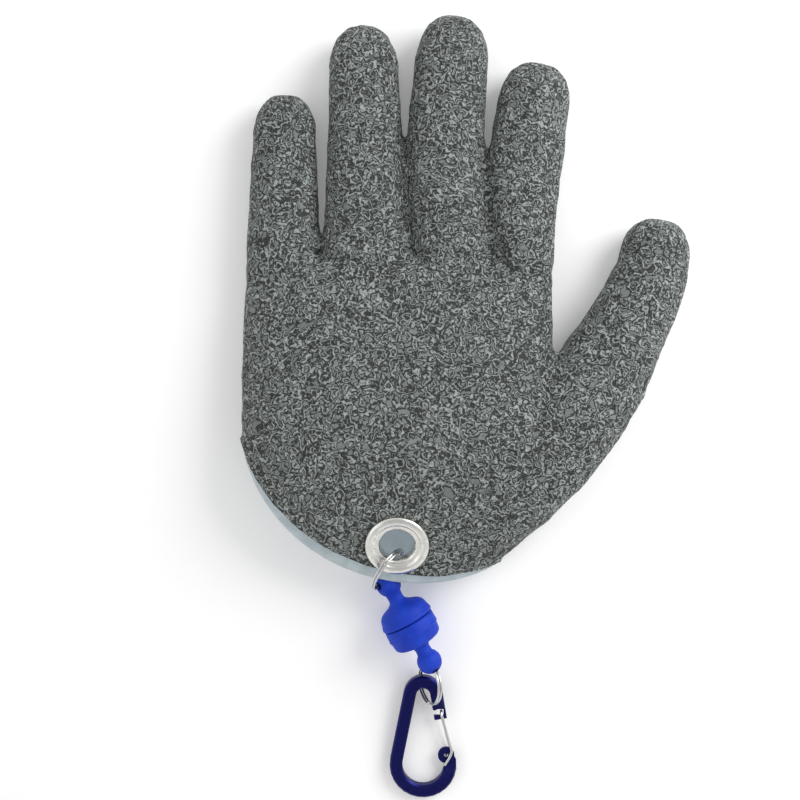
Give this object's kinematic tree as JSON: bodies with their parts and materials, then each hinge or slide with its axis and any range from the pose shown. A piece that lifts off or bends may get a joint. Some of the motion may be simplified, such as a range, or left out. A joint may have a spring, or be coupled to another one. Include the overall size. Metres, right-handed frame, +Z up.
{
  "type": "fishing glove",
  "caption": "Crinkled latex-coated work glove lying palm up, with an eyelet at the wrist edge, a magnetic release and a small carabiner.",
  "frame": {"origin": "centre of the bounding box, on the table that the glove lies on", "axes": "+X towards the thumb, +Y towards the fingertips, +Z up from the table, out of the palm"},
  "size_m": [0.165, 0.2912, 0.029],
  "materials": {
    "coat": "matte, crinkled",
    "lining": "matte",
    "nickel": "polished",
    "steel": "polished",
    "silicone": "matte",
    "anodised": "satin anodised"
  },
  "bodies": {
    "glove": {"crinkle_coat": "coat", "cuff_lining": "lining", "eyelet": "nickel", "eyelet_washer": "nickel", "upper_ring": "steel", "magnet_upper": "silicone"},
    "release": {"magnet_lower": "silicone", "lower_ring": "steel", "carabiner_body": "anodised"},
    "gate": {"carabiner_gate": "steel"}
  },
  "joints": [
    {"name": "release_pull", "type": "slide", "parent": "glove", "child": "release", "axis": [0.4695, -0.8829, 0], "range_m": [0, 0.02]},
    {"name": "gate_hinge", "type": "hinge", "parent": "release", "child": "gate", "pos_m": [-0.00714, -0.12966, 0.00293], "axis": [0, -0.0645, 0.9979], "range_deg": [0, 25], "stiffness_Nm_per_rad": 0.005, "springref_deg": -11.46}
  ]
}
